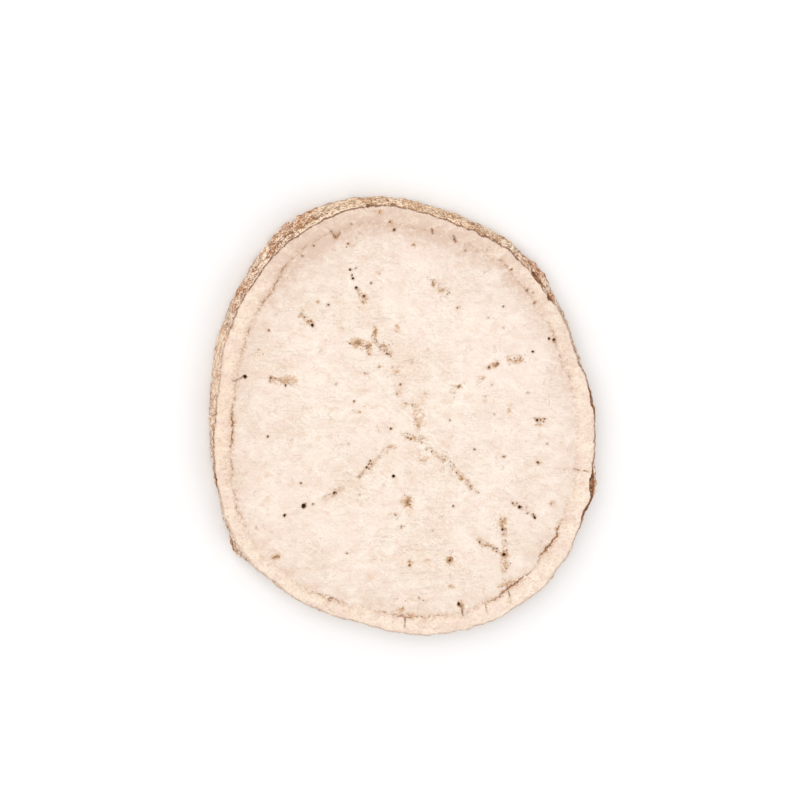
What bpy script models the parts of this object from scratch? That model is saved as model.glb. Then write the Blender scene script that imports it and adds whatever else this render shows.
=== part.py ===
"""A dried slice of stephania root, lying on its lower cut face.

The slice is one solid. A box, cut into a fine grid, is rounded to the root's outline, and its
two cut faces and its bark are then raised and sunk by formula: the ring of bark, the crack at
the cambium, the rows of vessels that run out from the pith, the pores, and the wrinkled cork.

+Z is up, and +Y points to the top edge of the slice. The origin is the middle of the outline's
box, on the surface that the slice lies on. Sizes are in millimetres until the last step.
"""

import math

import bmesh
import bpy
from mathutils import noise

MM = 0.001

# The slice: its thickness between the cut faces, and its upper face's radius from the pith,
# at equal steps of angle from +X round through +Y.
THICKNESS = 3.6
FACE_RADII = (
    22.19, 21.25, 21.37, 21.74, 22.73, 23.26, 24.50, 25.50,
    25.69, 24.39, 23.53, 22.65, 22.38, 23.19, 24.05, 24.45,
    24.72, 24.82, 25.85, 26.57, 26.65, 25.98, 24.38, 22.80,
)

# The root was cut askew, so the lower face stands out from under the upper one by this much.
LEAN_X = 0.05
LEAN_Y = 0.36

# The ring of bark: its width at equal steps of angle, how far it stands above the wood, the
# crack between the two and how open that is, and how far in from the edge the cork's line lies.
BARK_WIDTHS = (2.1, 1.9, 2.2, 2.5, 2.2, 1.6, 2.1, 2.6)
BARK_RISE = 0.09
CRACK_WIDTH = 0.17
CRACK_DEPTH = 0.30
CRACK_OPEN = (
    0.10, 0.15, 0.30, 0.30, 0.45, 0.40, 0.35, 0.15, 0.15, 0.40, 0.20, 0.40,
    0.40, 0.15, 0.10, 0.10, 0.10, 0.15, 0.20, 0.15, 0.10, 0.15, 0.30, 0.20,
    0.35, 0.35, 0.60, 0.65, 0.50, 0.35, 0.50, 0.50, 0.30, 0.20, 0.50, 0.50,
    0.80, 0.85, 0.40, 0.60, 0.30, 0.50, 0.50, 0.20, 0.10, 0.10, 0.10, 0.10,
    0.35, 0.60, 0.50, 0.20, 0.20, 0.45, 0.60, 0.60, 0.35, 0.20, 0.45, 0.60,
    0.85, 0.80, 0.20, 0.90, 1.00, 0.35, 0.15, 0.15, 0.20, 0.20, 0.15, 0.10,
)
CORK_WIDTHS = (
    0.30, 0.30, 0.30, 0.30, 0.30, 0.30, 0.30, 0.30, 0.90, 0.30, 0.30, 0.30,
    0.30, 0.30, 0.30, 0.30, 0.30, 0.30, 0.30, 0.30, 0.30, 0.30, 0.30, 0.30,
)
CORK_LINE_WIDTH = 0.14
CORK_LINE_DEPTH = 0.14

# The cork on the outside: wrinkles along the root, layers that lift in ridges round it, a fine
# crinkle, and a belly at half height.
WRINKLE_SIZE = 1.9
WRINKLE_DEPTH = 0.18
LAYER_LENGTH = 2.6
LAYER_SPACING = 0.75
LAYER_DEPTH = 0.20
CRINKLE_SIZE = 0.85
CRINKLE_DEPTH = 0.13
BELLY = 0.20

# Lumps and dents of the cork: angle and half width in degrees, height from 0 at the lower face
# to 1 at the upper one, half height, and how far it stands out.
CORK_LUMPS = (
    (46, 8, 0.50, 0.45, 0.80),
    (35, 5, 0.60, 0.40, 0.20),
    (62, 7, 0.50, 0.50, 0.35),
    (76, 6, 0.35, 0.45, 0.20),
    (128, 9, 0.35, 0.40, 0.30),
    (158, 7, 0.40, 0.40, 0.15),
    (338, 7, 0.70, 0.40, 0.70),
    (219, 4.5, 0.45, 0.35, 0.90),
    (198, 11, 0.15, 0.65, -0.55),
    (262, 9, 0.40, 0.40, -0.30),
    (305, 11, 0.35, 0.40, 0.35),
    (180, 8, 0.50, 0.40, 0.10),
)

# Rows of vessels, from the pith outwards: two ends and the width of the shallow trench.
VESSEL_ROWS = (
    (-2.2, -3.6, -5.6, -6.8, 0.50),
    (-7.6, -8.1, -9.6, -9.2, 0.45),
    (5.3, 3.0, 6.6, 3.6, 0.45),
    (9.5, 5.6, 10.8, 6.1, 0.40),
    (12.0, 6.4, 13.9, 6.4, 0.75),
    (2.6, -3.8, 4.6, -5.3, 0.55),
    (5.3, -5.8, 8.3, -9.2, 0.55),
    (8.7, -15.0, 11.0, -16.3, 0.50),
    (11.5, -12.6, 11.6, -18.6, 0.60),
    (12.6, -10.5, 15.3, -12.5, 0.40),
    (-0.5, -2.0, 2.3, -3.0, 0.70),
    (-3.7, 10.6, -3.6, 9.0, 0.50),
    (-3.6, 8.9, -1.9, 7.2, 0.45),
    (-6.2, 9.0, -4.6, 8.2, 1.00),
    (-12.3, 12.4, -10.9, 11.1, 0.40),
    (-5.6, 15.2, -4.9, 13.6, 0.55),
    (2.6, 16.0, 4.9, 14.3, 0.60),
    (-15.7, 5.0, -13.0, 4.4, 0.80),
    (14.9, -0.8, 16.3, -0.8, 0.35),
    (5.3, -16.6, 5.3, -17.6, 0.90),
    (0.1, -9.8, 0.1, -10.4, 1.10),
)
ROW_DEPTH = 0.16

# Cracks that cross the ring of bark, from the cambium outwards.
BARK_CRACKS = (
    (-0.3, -23.7, -0.3, -25.0, 0.22),
    (6.2, -22.3, 6.8, -24.0, 0.26),
    (9.4, -22.6, 9.5, -23.8, 0.20),
    (12.0, -20.3, 12.5, -22.0, 0.26),
    (19.9, -6.9, 21.4, -7.2, 0.22),
    (-20.2, 5.0, -18.9, 5.4, 0.20),
    (5.3, 21.0, 5.7, 20.2, 0.26),
    (3.0, 22.0, 3.1, 21.3, 0.26),
    (-8.6, 21.9, -8.3, 21.1, 0.24),
    (-7.7, 21.7, -8.1, 21.1, 0.22),
)
BARK_CRACK_DEPTH = 0.28

# Open pores, on the upper face: place and width.
PORES = (
    (-1.4, 21.8, 0.50), (-6.5, 17.4, 0.50), (-6.2, 16.4, 0.50), (-5.8, 15.3, 0.55),
    (-4.9, 14.3, 0.50), (-4.1, 15.8, 0.40), (-9.0, 13.4, 0.45), (-10.9, 11.1, 0.60),
    (-12.0, 19.1, 0.40), (-18.7, 5.4, 0.75), (-15.7, 5.1, 0.45), (-14.0, 4.2, 0.45),
    (-0.7, 3.9, 0.40), (-1.8, -1.3, 0.50), (-4.2, -5.0, 0.45), (-4.6, -5.8, 0.50),
    (-1.5, -6.9, 0.65), (-8.4, -8.6, 0.55), (-12.0, -10.0, 0.95), (-10.9, -9.8, 0.45),
    (-14.2, -11.0, 0.55), (-16.1, -1.7, 0.45), (-12.3, -7.3, 0.40), (15.4, -0.9, 0.50),
    (16.3, -0.8, 0.40), (8.0, -4.1, 0.40), (12.6, -10.7, 0.45), (13.4, -11.2, 0.60),
    (15.2, -12.5, 0.50), (11.4, -13.8, 0.60), (8.7, -15.2, 0.45), (11.6, -16.8, 0.70),
    (5.2, -17.3, 0.60), (6.2, -22.5, 0.60), (0.4, -17.6, 0.50), (16.7, 8.7, 0.45),
    (17.3, 8.5, 0.60), (14.8, 7.2, 0.50), (10.7, 5.9, 0.40), (9.7, 5.5, 0.40),
    (11.3, 12.6, 0.45), (12.2, 16.9, 0.45), (5.5, -10.7, 0.40), (5.1, -0.5, 0.40),
    (15.5, -5.9, 0.50), (14.9, 12.9, 0.40), (14.0, 14.4, 0.50), (-6.1, 2.1, 0.40),
)
PORE_DEPTH_PER_WIDTH = 0.85
DEEPEST_PORE = 0.60
THROUGH_PORE_WIDTH = 0.55

# The cut faces: slow waves, rays of wood that dried unevenly, torn fibres, lines that wander
# from their course, and chips out of the edge.
WAVE_SIZE = 7.0
WAVE_HEIGHT = 0.15
RAYS_PER_RADIAN = 5.5
RAY_HEIGHT = 0.10
RAY_START = 3.0
FIBRE_SIZE = 1.4
FIBRE_HEIGHT = 0.08
WANDER_SIZE = 1.9
WANDER_REACH = 0.34
EDGE_ROUND = 0.30
EDGE_DROP = 0.14
CHIP_SIZE = 2.6
CHIP_REACH = 0.90
CHIP_DEPTH = 0.45

# The lower face is flat where it rests. Elsewhere it is hollow by up to this much.
HOLLOW_SIZE = 8.0
HOLLOW_DEPTH = 0.30
REST_RADIUS = 4.0
FLAT_BELOW = 0.03

# The grid that the box is cut into, and the faces that the finished solid keeps.
FACE_CELLS = 88
WALL_ROWS = 10
DETAIL_REACH = 0.35
KEPT_TRIANGLES = 11400


def ring_value(values, angle):
    """A smooth closed curve through values that stand at equal steps of angle from +X."""
    place = (angle / math.tau) % 1.0 * len(values)
    i = int(place)
    t = place - i
    a, b, c, d = (values[(i + k) % len(values)] for k in (-1, 0, 1, 2))
    return b + 0.5 * t * (c - a + t * (2 * a - 5 * b + 4 * c - d + t * (3 * (b - c) + d - a)))


def ripple(x, y, size, seed):
    """Noise from about -1 to 1 whose lumps are about size across."""
    return noise.noise((x / size, y / size, seed))


def hill(distance, half_width):
    """1 at no distance, falling smoothly to almost 0 at twice the half width."""
    return math.exp(-((distance / half_width) ** 2))


def wandered(x, y):
    """The place that a point's trenches are looked up at, so that they are never quite straight."""
    along = ripple(x, y, WANDER_SIZE, 31.4)
    across = ripple(x, y, WANDER_SIZE, 47.9)
    return x + WANDER_REACH * along, y + WANDER_REACH * across


def from_segment(x, y, x0, y0, x1, y1):
    """Distance from a point to a straight stretch."""
    dx, dy = x1 - x0, y1 - y0
    t = ((x - x0) * dx + (y - y0) * dy) / (dx * dx + dy * dy)
    t = min(1.0, max(0.0, t))
    return math.hypot(x - x0 - t * dx, y - y0 - t * dy)


def trench(x, y, stretches, depth):
    """Depth of the deepest of several straight trenches at a point."""
    deepest = 0.0
    for x0, y0, x1, y1, width in stretches:
        away = from_segment(x, y, x0, y0, x1, y1)
        if away < width:
            deepest = max(deepest, depth * hill(away, width / 2))
    return deepest


def pore_depth(x, y, narrowest=0.0):
    """Depth of the deepest pore at a point, of those that are wide enough."""
    deepest = 0.0
    for px, py, width in PORES:
        away = math.hypot(x - px, y - py)
        if away < width and width >= narrowest:
            depth = min(DEEPEST_PORE, width * PORE_DEPTH_PER_WIDTH)
            deepest = max(deepest, depth * hill(away, width / 2))
    return deepest


def crack_strength(angle, seed):
    """How open the cambium crack is at an angle, up to 1: it comes and goes round the ring."""
    wander = ripple(23 * math.cos(angle), 23 * math.sin(angle), 2.2, seed)
    return min(1.0, ring_value(CRACK_OPEN, angle) * (1 + wander))


def ring_depth(x, y, angle, inward, seed):
    """Depth of the two lines that run round a cut face, at a distance inward from its edge."""
    inward += WANDER_REACH * ripple(x, y, WANDER_SIZE, seed)
    bark = ring_value(BARK_WIDTHS, angle)
    crack = CRACK_DEPTH * crack_strength(angle, seed) * hill(inward - bark, CRACK_WIDTH)
    cork = CORK_LINE_DEPTH * hill(inward - ring_value(CORK_WIDTHS, angle), CORK_LINE_WIDTH)
    return crack + cork


def edge_depth(x, y, inward, seed):
    """How far the rounded and chipped edge of a cut face falls away."""
    rounding = EDGE_DROP * max(0.0, 1 - inward / EDGE_ROUND) ** 2
    chip = max(0.0, ripple(x, y, CHIP_SIZE, seed) - 0.22) * max(0.0, 1 - inward / CHIP_REACH)
    return rounding + CHIP_DEPTH * chip


def ray_height(x, y, angle):
    """Height of the rays of wood, which fade out towards the pith."""
    radius = math.hypot(x, y)
    start = min(1.0, max(0.0, (radius - RAY_START) / RAY_START))
    around = (RAYS_PER_RADIAN * math.cos(angle), RAYS_PER_RADIAN * math.sin(angle), 0.06 * radius)
    return RAY_HEIGHT * start * noise.noise(around)


def upper_face(x, y, angle, inward):
    """Height of the upper cut face."""
    bark = ring_value(BARK_WIDTHS, angle)
    in_bark = min(1.0, max(0.0, (bark - inward) / 0.4))
    height = THICKNESS + BARK_RISE * in_bark
    height += WAVE_HEIGHT * ripple(x, y, WAVE_SIZE, 3.1)
    height += FIBRE_HEIGHT * ripple(x, y, FIBRE_SIZE, 7.7)
    height += (1 - in_bark) * ray_height(x, y, angle)
    height -= ring_depth(x, y, angle, inward, 1.3) + edge_depth(x, y, inward, 5.5)
    wx, wy = wandered(x, y)
    height -= trench(wx, wy, VESSEL_ROWS, ROW_DEPTH) + trench(wx, wy, BARK_CRACKS, BARK_CRACK_DEPTH)
    return height - pore_depth(x, y)


def lower_face(x, y, angle, inward):
    """Height of the lower cut face, which is exactly 0 where it rests."""
    middle = min(1.0, max(0.0, math.hypot(x, y) - REST_RADIUS))
    height = HOLLOW_DEPTH * max(0.0, ripple(x, y, HOLLOW_SIZE, 20.6)) * middle
    height += ring_depth(x, y, angle, inward, 14.8) + edge_depth(x, y, inward, 17.2)
    height += pore_depth(x, y, THROUGH_PORE_WIDTH)
    return 0.0 if height < FLAT_BELOW else height


def cork_offset(angle, height):
    """How far the cork stands out from the cut face's outline, at a height from 0 to 1."""
    x, y = 23 * math.cos(angle), 23 * math.sin(angle)
    offset = BELLY * 4 * height * (1 - height)
    offset += WRINKLE_DEPTH * noise.noise((x / WRINKLE_SIZE, y / WRINKLE_SIZE, 0.7 * height))
    layer = 17 + THICKNESS * height / LAYER_SPACING
    offset += LAYER_DEPTH * noise.noise((x / LAYER_LENGTH, y / LAYER_LENGTH, layer))
    offset += CRINKLE_DEPTH * noise.noise((x / CRINKLE_SIZE, y / CRINKLE_SIZE, 9 + 3 * height))
    for centre, half_width, middle, half_height, amount in CORK_LUMPS:
        turn = (math.degrees(angle) - centre + 180) % 360 - 180
        if abs(turn) < 3 * half_width:
            offset += amount * hill(turn, half_width) * hill(height - middle, half_height)
    return offset


def rounded_box(bm):
    """Cuts a box into a grid and rounds it to the slice's outline, from height 0 to 1."""
    bmesh.ops.create_cube(bm, size=2)
    upright = [e for e in bm.edges if abs(e.verts[0].co.z - e.verts[1].co.z) > 1]
    bmesh.ops.subdivide_edges(bm, edges=upright, cuts=WALL_ROWS - 1, use_grid_fill=True)
    level = [e for e in bm.edges if abs(e.verts[0].co.z - e.verts[1].co.z) < 0.001]
    bmesh.ops.subdivide_edges(bm, edges=level, cuts=FACE_CELLS - 1, use_grid_fill=True)
    for v in bm.verts:
        a, b, c = v.co
        if abs(a) >= abs(b):
            angle = math.pi / 4 * b / a + (math.pi if a < 0 else 0) if a else 0.0
        else:
            angle = math.pi / 2 - math.pi / 4 * a / b + (math.pi if b < 0 else 0)
        radius = max(abs(a), abs(b)) * ring_value(FACE_RADII, angle)
        v.co = (radius * math.cos(angle), radius * math.sin(angle), (c + 1) / 2)


def has_detail(v):
    """Whether a point of a cut face lies on a line, a trench or a pore, and needs a finer grid."""
    x, y, height = v.co
    if 0.01 < height < 0.99:
        return False
    angle = math.atan2(y, x)
    inward = ring_value(FACE_RADII, angle) - math.hypot(x, y)
    cork, bark = ring_value(CORK_WIDTHS, angle), ring_value(BARK_WIDTHS, angle)
    if inward < cork + DETAIL_REACH or abs(inward - bark) < DETAIL_REACH:
        return True
    wx, wy = wandered(x, y)
    return max(pore_depth(x, y), trench(wx, wy, VESSEL_ROWS, 1), trench(wx, wy, BARK_CRACKS, 1)) > 0.05


def refine(bm):
    """Halves the grid where the cut faces have detail."""
    fine = {v for v in bm.verts if has_detail(v)}
    edges = [e for e in bm.edges if e.verts[0] in fine and e.verts[1] in fine]
    bmesh.ops.subdivide_edges(bm, edges=edges, cuts=1, use_grid_fill=True)
    bmesh.ops.triangulate(bm, faces=bm.faces)


def shaped(x, y, height):
    """The finished place of a point of the rounded box."""
    angle = math.atan2(y, x)
    edge = ring_value(FACE_RADII, angle)
    share = min(1.0, math.hypot(x, y) / edge)
    radius = share * edge + share**4 * cork_offset(angle, height)
    inward = (1 - share) * edge
    x, y = radius * math.cos(angle), radius * math.sin(angle)
    low, high = lower_face(x, y, angle, inward), upper_face(x, y, angle, inward)
    return x + (1 - height) * LEAN_X, y + (1 - height) * LEAN_Y, low + height * (high - low)


def middle_of(points):
    """The middle of the box round some points, seen from above."""
    xs = [p[0] for p in points]
    ys = [p[1] for p in points]
    return (min(xs) + max(xs)) / 2, (min(ys) + max(ys)) / 2


def slice_material():
    """Starchy dried root: pale cream and quite dull."""
    material = bpy.data.materials.new("dried_root")
    material.use_nodes = True
    shader = material.node_tree.nodes["Principled BSDF"]
    shader.inputs["Base Color"].default_value = (0.84, 0.72, 0.61, 1.0)
    shader.inputs["Roughness"].default_value = 0.85
    shader.inputs["Metallic"].default_value = 0.0
    return material


def keep_relief(piece):
    """Thins out the triangles of the flat parts, keeps the relief, and centres the slice."""
    thin = piece.modifiers.new("thin_out", "DECIMATE")
    thin.decimate_type = "COLLAPSE"
    thin.ratio = KEPT_TRIANGLES / len(piece.data.polygons)
    evaluated = piece.evaluated_get(bpy.context.evaluated_depsgraph_get())
    thinned = bpy.data.meshes.new_from_object(evaluated)
    piece.modifiers.remove(thin)
    piece.data = thinned
    for v in thinned.vertices:
        if v.co.z < FLAT_BELOW * MM / 2:
            v.co.z = 0.0
    middle_x, middle_y = middle_of([v.co for v in thinned.vertices])
    for v in thinned.vertices:
        v.co.x -= middle_x
        v.co.y -= middle_y


def make_slice(collection):
    """Builds the slice as one closed mesh."""
    bm = bmesh.new()
    rounded_box(bm)
    refine(bm)
    for v in bm.verts:
        x, y, z = shaped(*v.co)
        v.co = (x * MM, y * MM, z * MM)
    bmesh.ops.recalc_face_normals(bm, faces=bm.faces)
    mesh = bpy.data.meshes.new("root_slice")
    bm.to_mesh(mesh)
    bm.free()
    piece = bpy.data.objects.new("root_slice", mesh)
    collection.objects.link(piece)
    keep_relief(piece)
    piece.data.shade_smooth()
    piece.data.set_sharp_from_angle(angle=math.radians(40))
    piece.data.materials.append(slice_material())
    return piece


def main():
    for old in list(bpy.data.objects):
        bpy.data.objects.remove(old)
    collection = bpy.data.collections.new("stephania_root_slice")
    bpy.context.scene.collection.children.link(collection)
    make_slice(collection)


main()
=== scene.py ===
"""The looks of a dried slice of stephania root, lying on a pale floor under soft light.

The slice is one fine closed surface in the place of its plain solid, with the same outline, ring of
bark, cambium crack, rows of vessels and pores, and crumpled cork on its wall. Shapes are computed in
millimetres and stored in metres.
"""

import math
import random
from types import SimpleNamespace
import bmesh
import bpy
import numpy as np
from mathutils import Matrix, Vector, noise


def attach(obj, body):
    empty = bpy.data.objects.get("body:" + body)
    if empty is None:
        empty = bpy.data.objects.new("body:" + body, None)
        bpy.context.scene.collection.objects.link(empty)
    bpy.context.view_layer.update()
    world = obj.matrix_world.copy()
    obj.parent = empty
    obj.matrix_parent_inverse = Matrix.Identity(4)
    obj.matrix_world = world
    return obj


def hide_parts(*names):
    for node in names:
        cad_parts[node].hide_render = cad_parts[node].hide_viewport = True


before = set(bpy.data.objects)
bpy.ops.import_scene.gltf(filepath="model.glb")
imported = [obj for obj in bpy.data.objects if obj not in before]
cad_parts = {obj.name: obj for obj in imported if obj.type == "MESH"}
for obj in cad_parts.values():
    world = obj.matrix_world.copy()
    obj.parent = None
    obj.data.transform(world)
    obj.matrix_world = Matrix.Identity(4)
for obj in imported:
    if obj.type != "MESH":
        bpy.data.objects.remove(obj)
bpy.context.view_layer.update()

MM = 0.001
FAR_AWAY = 9.0  # more than any distance between a point and its nearest mark that matters

# The same outline and relief as the solid has. Rings of values stand at equal steps of angle from +X.
THICKNESS = 3.6
MEAN_RADIUS = 23
UPPER_RING_SEED = 1.3
LOWER_RING_SEED = 14.8
FACE_RADII = (
    22.19, 21.25, 21.37, 21.74, 22.73, 23.26, 24.50, 25.50,
    25.69, 24.39, 23.53, 22.65, 22.38, 23.19, 24.05, 24.45,
    24.72, 24.82, 25.85, 26.57, 26.65, 25.98, 24.38, 22.80,
)
LEAN_X = 0.05
LEAN_Y = 0.36
BARK_WIDTHS = (2.1, 1.9, 2.2, 2.5, 2.2, 1.6, 2.1, 2.6)
BARK_RISE = 0.09
BARK_STEP = 0.4
CRACK_WIDTH = 0.17
CRACK_DEPTH = 0.30
OPENING_SIZE = 2.2
GAP_SIZE = 0.8
CRACK_OPEN = (
    0.10, 0.15, 0.30, 0.30, 0.45, 0.40, 0.35, 0.15, 0.15, 0.40, 0.20, 0.40,
    0.40, 0.15, 0.10, 0.10, 0.10, 0.15, 0.20, 0.15, 0.10, 0.15, 0.30, 0.20,
    0.35, 0.35, 0.60, 0.65, 0.50, 0.35, 0.50, 0.50, 0.30, 0.20, 0.50, 0.50,
    0.80, 0.85, 0.40, 0.60, 0.30, 0.50, 0.50, 0.20, 0.10, 0.10, 0.10, 0.10,
    0.35, 0.60, 0.50, 0.20, 0.20, 0.45, 0.60, 0.60, 0.35, 0.20, 0.45, 0.60,
    0.85, 0.80, 0.20, 0.90, 1.00, 0.35, 0.15, 0.15, 0.20, 0.20, 0.15, 0.10,
)
CORK_WIDTH = 0.30
WIDE_CORK = 0.90
CORK_WIDTHS = (*[CORK_WIDTH] * 8, WIDE_CORK, *[CORK_WIDTH] * 15)
CORK_LINE_WIDTH = 0.14
CORK_LINE_DEPTH = 0.14
WRINKLE_SIZE = 1.9
WRINKLE_DEPTH = 0.18
LAYER_LENGTH = 2.6
LAYER_SPACING = 0.75
LAYER_DEPTH = 0.20
CRINKLE_SIZE = 0.85
CRINKLE_DEPTH = 0.13
BELLY = 0.20
CORK_LUMPS = (
    (46, 8, 0.50, 0.45, 0.80),
    (35, 5, 0.60, 0.40, 0.20),
    (62, 7, 0.50, 0.50, 0.35),
    (76, 6, 0.35, 0.45, 0.20),
    (128, 9, 0.35, 0.40, 0.30),
    (158, 7, 0.40, 0.40, 0.15),
    (338, 7, 0.70, 0.40, 0.70),
    (219, 4.5, 0.45, 0.35, 0.90),
    (198, 11, 0.15, 0.65, -0.55),
    (262, 9, 0.40, 0.40, -0.30),
    (305, 11, 0.35, 0.40, 0.35),
    (180, 8, 0.50, 0.40, 0.10),
)
VESSEL_ROWS = (
    (-2.2, -3.6, -5.6, -6.8, 0.50),
    (-7.6, -8.1, -9.6, -9.2, 0.45),
    (5.3, 3.0, 6.6, 3.6, 0.45),
    (9.5, 5.6, 10.8, 6.1, 0.40),
    (12.0, 6.4, 13.9, 6.4, 0.75),
    (2.6, -3.8, 4.6, -5.3, 0.55),
    (5.3, -5.8, 8.3, -9.2, 0.55),
    (8.7, -15.0, 11.0, -16.3, 0.50),
    (11.5, -12.6, 11.6, -18.6, 0.60),
    (12.6, -10.5, 15.3, -12.5, 0.40),
    (-0.5, -2.0, 2.3, -3.0, 0.70),
    (-3.7, 10.6, -3.6, 9.0, 0.50),
    (-3.6, 8.9, -1.9, 7.2, 0.45),
    (-6.2, 9.0, -4.6, 8.2, 1.00),
    (-12.3, 12.4, -10.9, 11.1, 0.40),
    (-5.6, 15.2, -4.9, 13.6, 0.55),
    (2.6, 16.0, 4.9, 14.3, 0.60),
    (-15.7, 5.0, -13.0, 4.4, 0.80),
    (14.9, -0.8, 16.3, -0.8, 0.35),
    (5.3, -16.6, 5.3, -17.6, 0.90),
    (0.1, -9.8, 0.1, -10.4, 1.10),
)
ROW_DEPTH = 0.16
BARK_CRACKS = (
    (-0.3, -23.7, -0.3, -25.0, 0.22),
    (6.2, -22.3, 6.8, -24.0, 0.26),
    (9.4, -22.6, 9.5, -23.8, 0.20),
    (12.0, -20.3, 12.5, -22.0, 0.26),
    (19.9, -6.9, 21.4, -7.2, 0.22),
    (-20.2, 5.0, -18.9, 5.4, 0.20),
    (5.3, 21.0, 5.7, 20.2, 0.26),
    (3.0, 22.0, 3.1, 21.3, 0.26),
    (-8.6, 21.9, -8.3, 21.1, 0.24),
    (-7.7, 21.7, -8.1, 21.1, 0.22),
)
BARK_CRACK_DEPTH = 0.28
PORES = (
    (-1.4, 21.8, 0.50), (-6.5, 17.4, 0.50), (-6.2, 16.4, 0.50), (-5.8, 15.3, 0.55),
    (-4.9, 14.3, 0.50), (-4.1, 15.8, 0.40), (-9.0, 13.4, 0.45), (-10.9, 11.1, 0.60),
    (-12.0, 19.1, 0.40), (-18.7, 5.4, 0.75), (-15.7, 5.1, 0.45), (-14.0, 4.2, 0.45),
    (-0.7, 3.9, 0.40), (-1.8, -1.3, 0.50), (-4.2, -5.0, 0.45), (-4.6, -5.8, 0.50),
    (-1.5, -6.9, 0.65), (-8.4, -8.6, 0.55), (-12.0, -10.0, 0.95), (-10.9, -9.8, 0.45),
    (-14.2, -11.0, 0.55), (-16.1, -1.7, 0.45), (-12.3, -7.3, 0.40), (15.4, -0.9, 0.50),
    (16.3, -0.8, 0.40), (8.0, -4.1, 0.40), (12.6, -10.7, 0.45), (13.4, -11.2, 0.60),
    (15.2, -12.5, 0.50), (11.4, -13.8, 0.60), (8.7, -15.2, 0.45), (11.6, -16.8, 0.70),
    (5.2, -17.3, 0.60), (6.2, -22.5, 0.60), (0.4, -17.6, 0.50), (16.7, 8.7, 0.45),
    (17.3, 8.5, 0.60), (14.8, 7.2, 0.50), (10.7, 5.9, 0.40), (9.7, 5.5, 0.40),
    (11.3, 12.6, 0.45), (12.2, 16.9, 0.45), (5.5, -10.7, 0.40), (5.1, -0.5, 0.40),
    (15.5, -5.9, 0.50), (14.9, 12.9, 0.40), (14.0, 14.4, 0.50), (-6.1, 2.1, 0.40),
)
PORE_TONES = (
    1.00, 0.75, 0.90, 1.00, 0.80, 0.50, 0.50, 0.85, 0.55, 1.00, 0.55, 0.65,
    0.50, 0.55, 0.50, 0.60, 0.85, 0.60, 1.00, 0.60, 1.00, 0.60, 0.50, 0.90,
    0.50, 0.60, 0.60, 0.95, 0.85, 0.80, 0.65, 0.90, 0.65, 0.75, 0.55, 0.80,
    0.75, 0.70, 0.50, 0.45, 0.50, 0.60, 0.55, 0.35, 0.50, 0.45, 0.50, 0.45,
)
MOUTH_SHARE = 0.13
PORE_DEPTH_PER_WIDTH = 0.85
DEEPEST_PORE = 0.60
PORE_STEEPNESS = 3.8
THROUGH_PORE_WIDTH = 0.55
WAVE_SIZE = 7.0
WAVE_HEIGHT = 0.15
RAYS_PER_RADIAN = 5.5
RAY_HEIGHT = 0.10
RAY_START = 3.0
FIBRE_SIZE = 1.4
FIBRE_HEIGHT = 0.08
WANDER_SIZE = 1.9
WANDER_REACH = 0.34
EDGE_ROUND = 0.30
EDGE_DROP = 0.14
CHIP_SIZE = 2.6
CHIP_START = 0.22
CHIP_REACH = 0.90
CHIP_DEPTH = 0.45
HOLLOW_SIZE = 8.0
HOLLOW_DEPTH = 0.30
REST_RADIUS = 4.0
FLAT_BELOW = 0.03

# Relief too fine for the solid: torn fibres on the cut faces, and the crumpled skin of the cork.
TORN_SIZE = 0.55
TORN_HEIGHT = 0.050
GRAIN_SIZE = 0.30
GRAIN_HEIGHT = 0.022
SKIN_SIZE = 0.50
SKIN_DEPTH = 0.20

# The finish of the dried root, in millimetres and in shares.
BUMP_STRENGTH = 0.6
BUMP_HEIGHT = 0.08
ROUGHNESS = (0.82, 0.95)
SHEEN = 0.25

# The studio, in metres: a floor, a pale world, and lights with their place, size and power.
FLOOR_REACH = 4
WORLD_STRENGTH = 0.84
KEY_LIGHT = ((-0.30, 0.30, 0.60), 0.60, 1.9)
FILL_LIGHT = ((0.45, -0.35, 0.50), 0.60, 0.9)

# The camera looks down at the slice from a little up and to the left, as in the photo.
CAMERA_TILT = 15
CAMERA_TURN = 130
CAMERA_DISTANCE = 0.40
SEEN_WIDTH = 0.092
SENSOR_WIDTH = 36
AIM = (-0.00069, 0.00253, 0.0036)

# The grid of the fine surface, and how near the lines and pores it is made finer, in millimetres.
FACE_CELLS = 150
WALL_ROWS = 14
NEAR_EDGE = 1.20
NEAR_CRACK = 0.45
NEAR_PORE = 0.40
NEAR_ROW = 0.20
PORE_REACHES = (0.25, 0.12)
SPOT_LAG = 0.06

# How dark the cork's edge line is at equal steps of angle from +X. From 0.85 the wall can be seen
# beyond it from above, and the line lies a little inside the edge.
CORK_TONES = (
    0.80, 0.75, 0.60, 0.95, 0.95, 0.95, 0.95, 1.00,
    1.00, 1.00, 0.95, 0.90, 0.85, 0.70, 0.30, 0.35,
    0.40, 0.40, 0.35, 0.35, 0.40, 0.40, 0.78, 0.81,
)

# How strongly the ring of bark and the wood next to it are shaded, at equal steps of angle from +X.
# On the +Y side this darkening is partly the bark's own darker tone and partly painted shade.
BARK_SHADES = (
    0.05, 0.15, 0.25, 0.33, 0.38, 0.60, 0.66, 0.64, 0.72, 0.30, 0.10, 0.03,
    *[0.00] * 12,
)

# Sides of the slice that are painted a little differently: middle and half width in degrees.
WARM_SIDE = (175, 24)
PALE_SIDE = (163, 15)
TAN_SIDE = (90, 24)
ROSY_SIDE = (20, 55)
# On the shaded side the painted shade, partly darker tone, reaches deeper into the wood.
SHADED_SIDE = (122, 16)

# Brown cork on the edge of the cut face: angle and half width in degrees, reach and strength.
EDGE_PATCHES = (
    (338, 4.0, 0.60, 1.00),
    (331, 4.0, 0.34, 0.90),
    (3, 5.0, 0.35, 0.80),
    (14, 6.0, 0.20, 0.55),
    (46, 3.0, 0.40, 0.90),
    (39, 1.5, 0.40, 0.80),
    (100.5, 1.8, 0.70, 0.50),
    (196, 4.0, 0.22, 0.60),
    (352, 5.0, 0.20, 0.50),
)

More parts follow.
